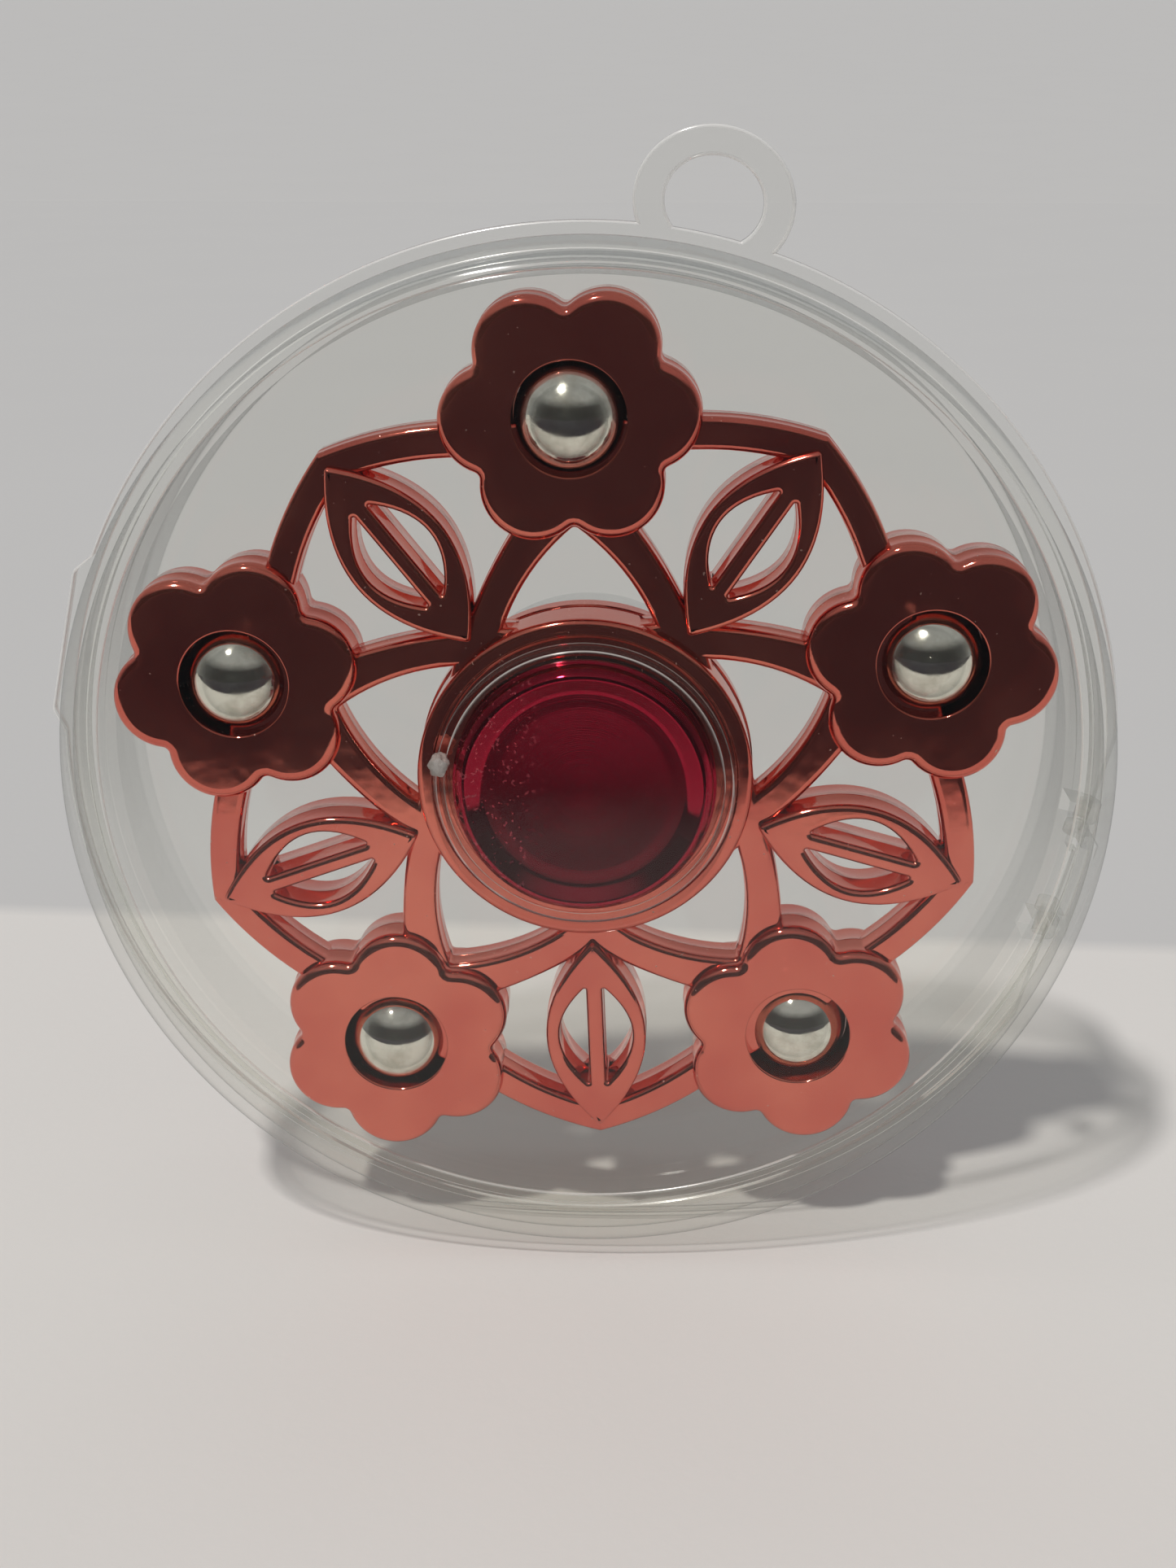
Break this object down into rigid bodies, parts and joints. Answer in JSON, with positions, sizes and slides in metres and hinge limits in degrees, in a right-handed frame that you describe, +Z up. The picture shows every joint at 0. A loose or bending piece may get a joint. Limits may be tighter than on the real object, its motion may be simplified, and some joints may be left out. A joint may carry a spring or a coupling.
{
  "type": "fidget spinner in a hinged clear case",
  "caption": "Flower-armed metallised fidget spinner with captive steel balls, a ball bearing and dished finger caps, kept upright in a round hinged clear case with a hang loop.",
  "frame": {"origin": "on the floor under the middle of the upright case, half way between its two flat faces", "axes": "+Z up; +Y along the spin axis from the front cover towards the back of the case; +X towards the hinge side"},
  "size_m": [0.1004, 0.0218, 0.1073],
  "materials": {
    "clear_plastic": "clear, glossy",
    "copper_plating": "metallised, mirror bright, over moulded plastic",
    "polished_steel": "polished",
    "bearing_steel": "ground",
    "cage_nylon": "moulded",
    "cap_red": "anodised, bright turned"
  },
  "bodies": {
    "case": {"case_back": "clear_plastic"},
    "lid": {"case_front": "clear_plastic"},
    "hub": {"cap_front": "cap_red", "cap_rear": "cap_red", "bearing_inner_ring": "bearing_steel"},
    "rotor": {"spinner_body": "copper_plating", "weight_ball_1": "polished_steel", "weight_ball_2": "polished_steel", "weight_ball_3": "polished_steel", "weight_ball_4": "polished_steel", "weight_ball_5": "polished_steel", "bearing_outer_ring": "bearing_steel", "bearing_shield_front": "bearing_steel", "bearing_shield_rear": "bearing_steel"},
    "cage": {"bearing_cage": "cage_nylon", "bearing_ball_1": "polished_steel", "bearing_ball_2": "polished_steel", "bearing_ball_3": "polished_steel", "bearing_ball_4": "polished_steel", "bearing_ball_5": "polished_steel", "bearing_ball_6": "polished_steel", "bearing_ball_7": "polished_steel"}
  },
  "joints": [
    {"name": "lid_hinge", "type": "hinge", "parent": "case", "child": "lid", "pos_m": [0.04642, 0.00136, 0.03864], "axis": [0.2334, 0, 0.9724], "range_deg": [0, 170]},
    {"name": "hub_spin", "type": "hinge", "parent": "case", "child": "hub", "pos_m": [0, -0.00296, 0.04979], "axis": [0, -1, 0], "continuous": true},
    {"name": "rotor_spin", "type": "hinge", "parent": "hub", "child": "rotor", "pos_m": [0, -0.00296, 0.04979], "axis": [0, -1, 0], "continuous": true},
    {"name": "cage_spin", "type": "hinge", "parent": "hub", "child": "cage", "pos_m": [0, -0.00296, 0.04979], "axis": [0, -1, 0], "continuous": true}
  ],
  "couplings": [
    {"joint": "cage_spin", "follows": "rotor_spin", "ratio": 0.6323}
  ]
}
